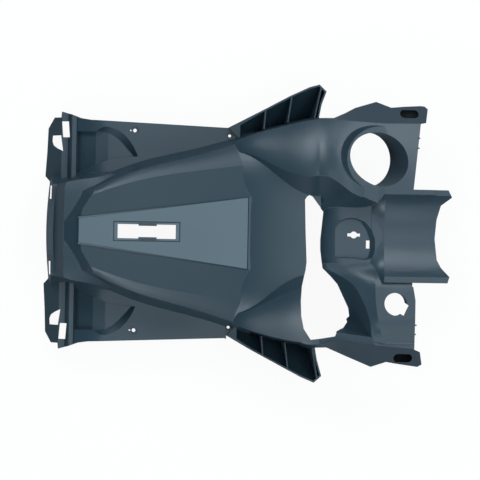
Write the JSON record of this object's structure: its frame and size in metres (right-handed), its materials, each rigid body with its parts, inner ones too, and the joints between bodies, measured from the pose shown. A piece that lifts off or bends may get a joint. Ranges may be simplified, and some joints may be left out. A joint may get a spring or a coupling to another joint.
{
  "type": "scooter leg shield",
  "caption": "Moulded scooter leg shield with raised tunnel, foot plates, louvred wings, a round bay, a switch hole and a trough over the steering column.",
  "frame": {"origin": "centre of the bounding box's bottom face, with the panel lying on its back edges", "axes": "+X from the lower end of the tunnel to the steering column, +Y towards the round bay, +Z out of the visible face"},
  "size_m": [0.655, 0.479, 0.167],
  "materials": {
    "moulded_plastic": "fine-grained satin, dark slate blue-grey"
  },
  "bodies": {
    "root": {"leg_shield": "moulded_plastic"}
  },
  "joints": []
}
